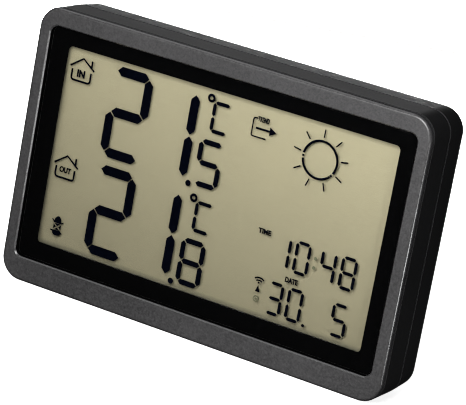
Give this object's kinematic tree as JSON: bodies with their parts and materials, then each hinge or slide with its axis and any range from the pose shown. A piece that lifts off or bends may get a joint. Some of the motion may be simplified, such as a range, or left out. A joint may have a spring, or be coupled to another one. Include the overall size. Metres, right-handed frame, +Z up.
{
  "type": "home weather station",
  "caption": "Slim rounded rectangular weather station console with a large segment display, rear keys, battery bay, keyhole and fold-out table stand.",
  "frame": {"origin": "middle of the console's lower edge, which it stands on", "axes": "+X to the viewer's right along the display's width, +Y from the display towards the back, +Z up"},
  "size_m": [0.1372, 0.0234, 0.089],
  "materials": {
    "case_plastic": "fine moulded texture, satin black",
    "frame_plastic": "charcoal, fine satin grain",
    "door_plastic": "fine moulded texture, satin black",
    "stand_plastic": "fine moulded texture, satin black",
    "key_plastic": "satin dark grey",
    "window_clear": "clear, polished",
    "display_glass": "polished",
    "reflector": "pale olive, satin",
    "holder_plastic": "black, matt",
    "zebra_rubber": "striped silicone",
    "board_laminate": "green solder mask",
    "chip_resin": "black epoxy",
    "ferrite": "dull dark grey",
    "copper_wire": "enamelled copper wire",
    "screw_steel": "zinc plated steel",
    "nickel_plate": "nickel plated steel",
    "cell_jacket": "printed jacket, dark blue",
    "lead_red": "red insulation",
    "component_black": "black moulding",
    "component_can": "drawn can"
  },
  "bodies": {
    "console": {"front_housing": "case_plastic", "rear_cover": "case_plastic", "front_frame": "frame_plastic", "window_lens": "window_clear", "lcd_glass": "display_glass", "reflector_film": "reflector", "lcd_holder": "holder_plastic", "zebra_strip": "zebra_rubber", "circuit_board": "board_laminate", "radio_module": "board_laminate", "chip_blob": "chip_resin", "ferrite_rod": "ferrite", "antenna_coil": "copper_wire", "radio_aerial": "copper_wire", "board_screw_1": "screw_steel", "board_screw_2": "screw_steel", "board_screw_3": "screw_steel", "board_screw_4": "screw_steel", "case_screw_1": "screw_steel", "case_screw_2": "screw_steel", "case_screw_3": "screw_steel", "case_screw_4": "screw_steel", "battery_spring_1": "screw_steel", "battery_spring_2": "screw_steel", "contact_positive": "nickel_plate", "contact_negative": "nickel_plate", "contact_bridge": "nickel_plate", "battery_1": "cell_jacket", "battery_2": "cell_jacket", "battery_lead_plus": "lead_red", "battery_lead_minus": "component_black", "piezo_buzzer": "component_black", "thermistor": "component_black", "microchip": "component_black", "tact_switch_1": "component_black", "tact_switch_2": "component_black", "tact_switch_3": "component_black", "tact_switch_4": "component_black", "tact_switch_5": "component_black", "clock_crystal": "component_can", "buffer_capacitor": "component_can"},
    "mode_button": {"mode_button": "key_plastic"},
    "up_button": {"up_button": "key_plastic"},
    "down_button": {"down_button": "key_plastic"},
    "channel_button": {"channel_button": "key_plastic"},
    "alarm_button": {"alarm_button": "key_plastic"},
    "battery_door": {"battery_door": "door_plastic"},
    "table_stand": {"table_stand": "stand_plastic"}
  },
  "joints": [
    {"name": "mode_press", "type": "slide", "parent": "console", "child": "mode_button", "axis": [0, -1, 0], "range_m": [0, 0.0005], "stiffness_N_per_m": 1000},
    {"name": "up_press", "type": "slide", "parent": "console", "child": "up_button", "axis": [0, -1, 0], "range_m": [0, 0.0005], "stiffness_N_per_m": 1000},
    {"name": "down_press", "type": "slide", "parent": "console", "child": "down_button", "axis": [0, -1, 0], "range_m": [0, 0.0005], "stiffness_N_per_m": 1000},
    {"name": "channel_press", "type": "slide", "parent": "console", "child": "channel_button", "axis": [0, -1, 0], "range_m": [0, 0.0005], "stiffness_N_per_m": 1000},
    {"name": "alarm_press", "type": "slide", "parent": "console", "child": "alarm_button", "axis": [0, -1, 0], "range_m": [0, 0.0005], "stiffness_N_per_m": 1000},
    {"name": "battery_door_lift", "type": "slide", "parent": "console", "child": "battery_door", "axis": [0, 1, 0], "range_m": [0, 0.025]},
    {"name": "stand_hinge", "type": "hinge", "parent": "console", "child": "table_stand", "pos_m": [0, 0.01035, 0.005], "axis": [-1, 0, 0], "range_deg": [0, 80]}
  ]
}
